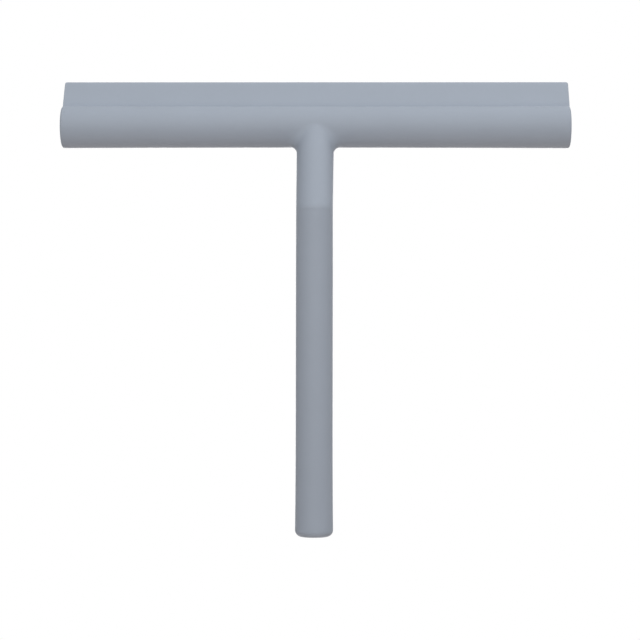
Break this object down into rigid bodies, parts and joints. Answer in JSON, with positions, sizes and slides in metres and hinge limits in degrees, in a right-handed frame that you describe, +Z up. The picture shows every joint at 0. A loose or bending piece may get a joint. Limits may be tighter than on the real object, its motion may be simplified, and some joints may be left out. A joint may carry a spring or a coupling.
{
  "type": "shower squeegee",
  "caption": "Hand squeegee with a sprung silicone wiping lip on a round silicone bar, carried by a leaning neck on a straight round grip.",
  "frame": {"origin": "centre of the flat face at the grip's free end", "axes": "+Z up along the grip's axis to the head, X along the bar, -Y the front that the picture shows"},
  "size_m": [0.246, 0.0457, 0.2184],
  "materials": {
    "silicone": "matt blue-grey silicone with a fine soft grain",
    "nylon": "dark glass-filled nylon, as moulded",
    "steel": "drawn stainless steel",
    "brass": "turned brass"
  },
  "bodies": {
    "holder": {"head_skin": "silicone", "blade_bead": "silicone", "blade_rail": "nylon", "neck_ferrule": "nylon", "neck_rod": "steel", "spring_pin": "steel", "grip_sleeve": "silicone", "handle_tube": "steel", "thread_insert": "brass", "end_plug": "nylon"},
    "lip": {"blade_lip": "silicone"}
  },
  "joints": [
    {"name": "lip_flex", "type": "hinge", "parent": "holder", "child": "lip", "pos_m": [0, 0.02892, 0.20544], "axis": [1, 0, 0], "range_deg": [-40, 40], "stiffness_Nm_per_rad": 0.15}
  ]
}
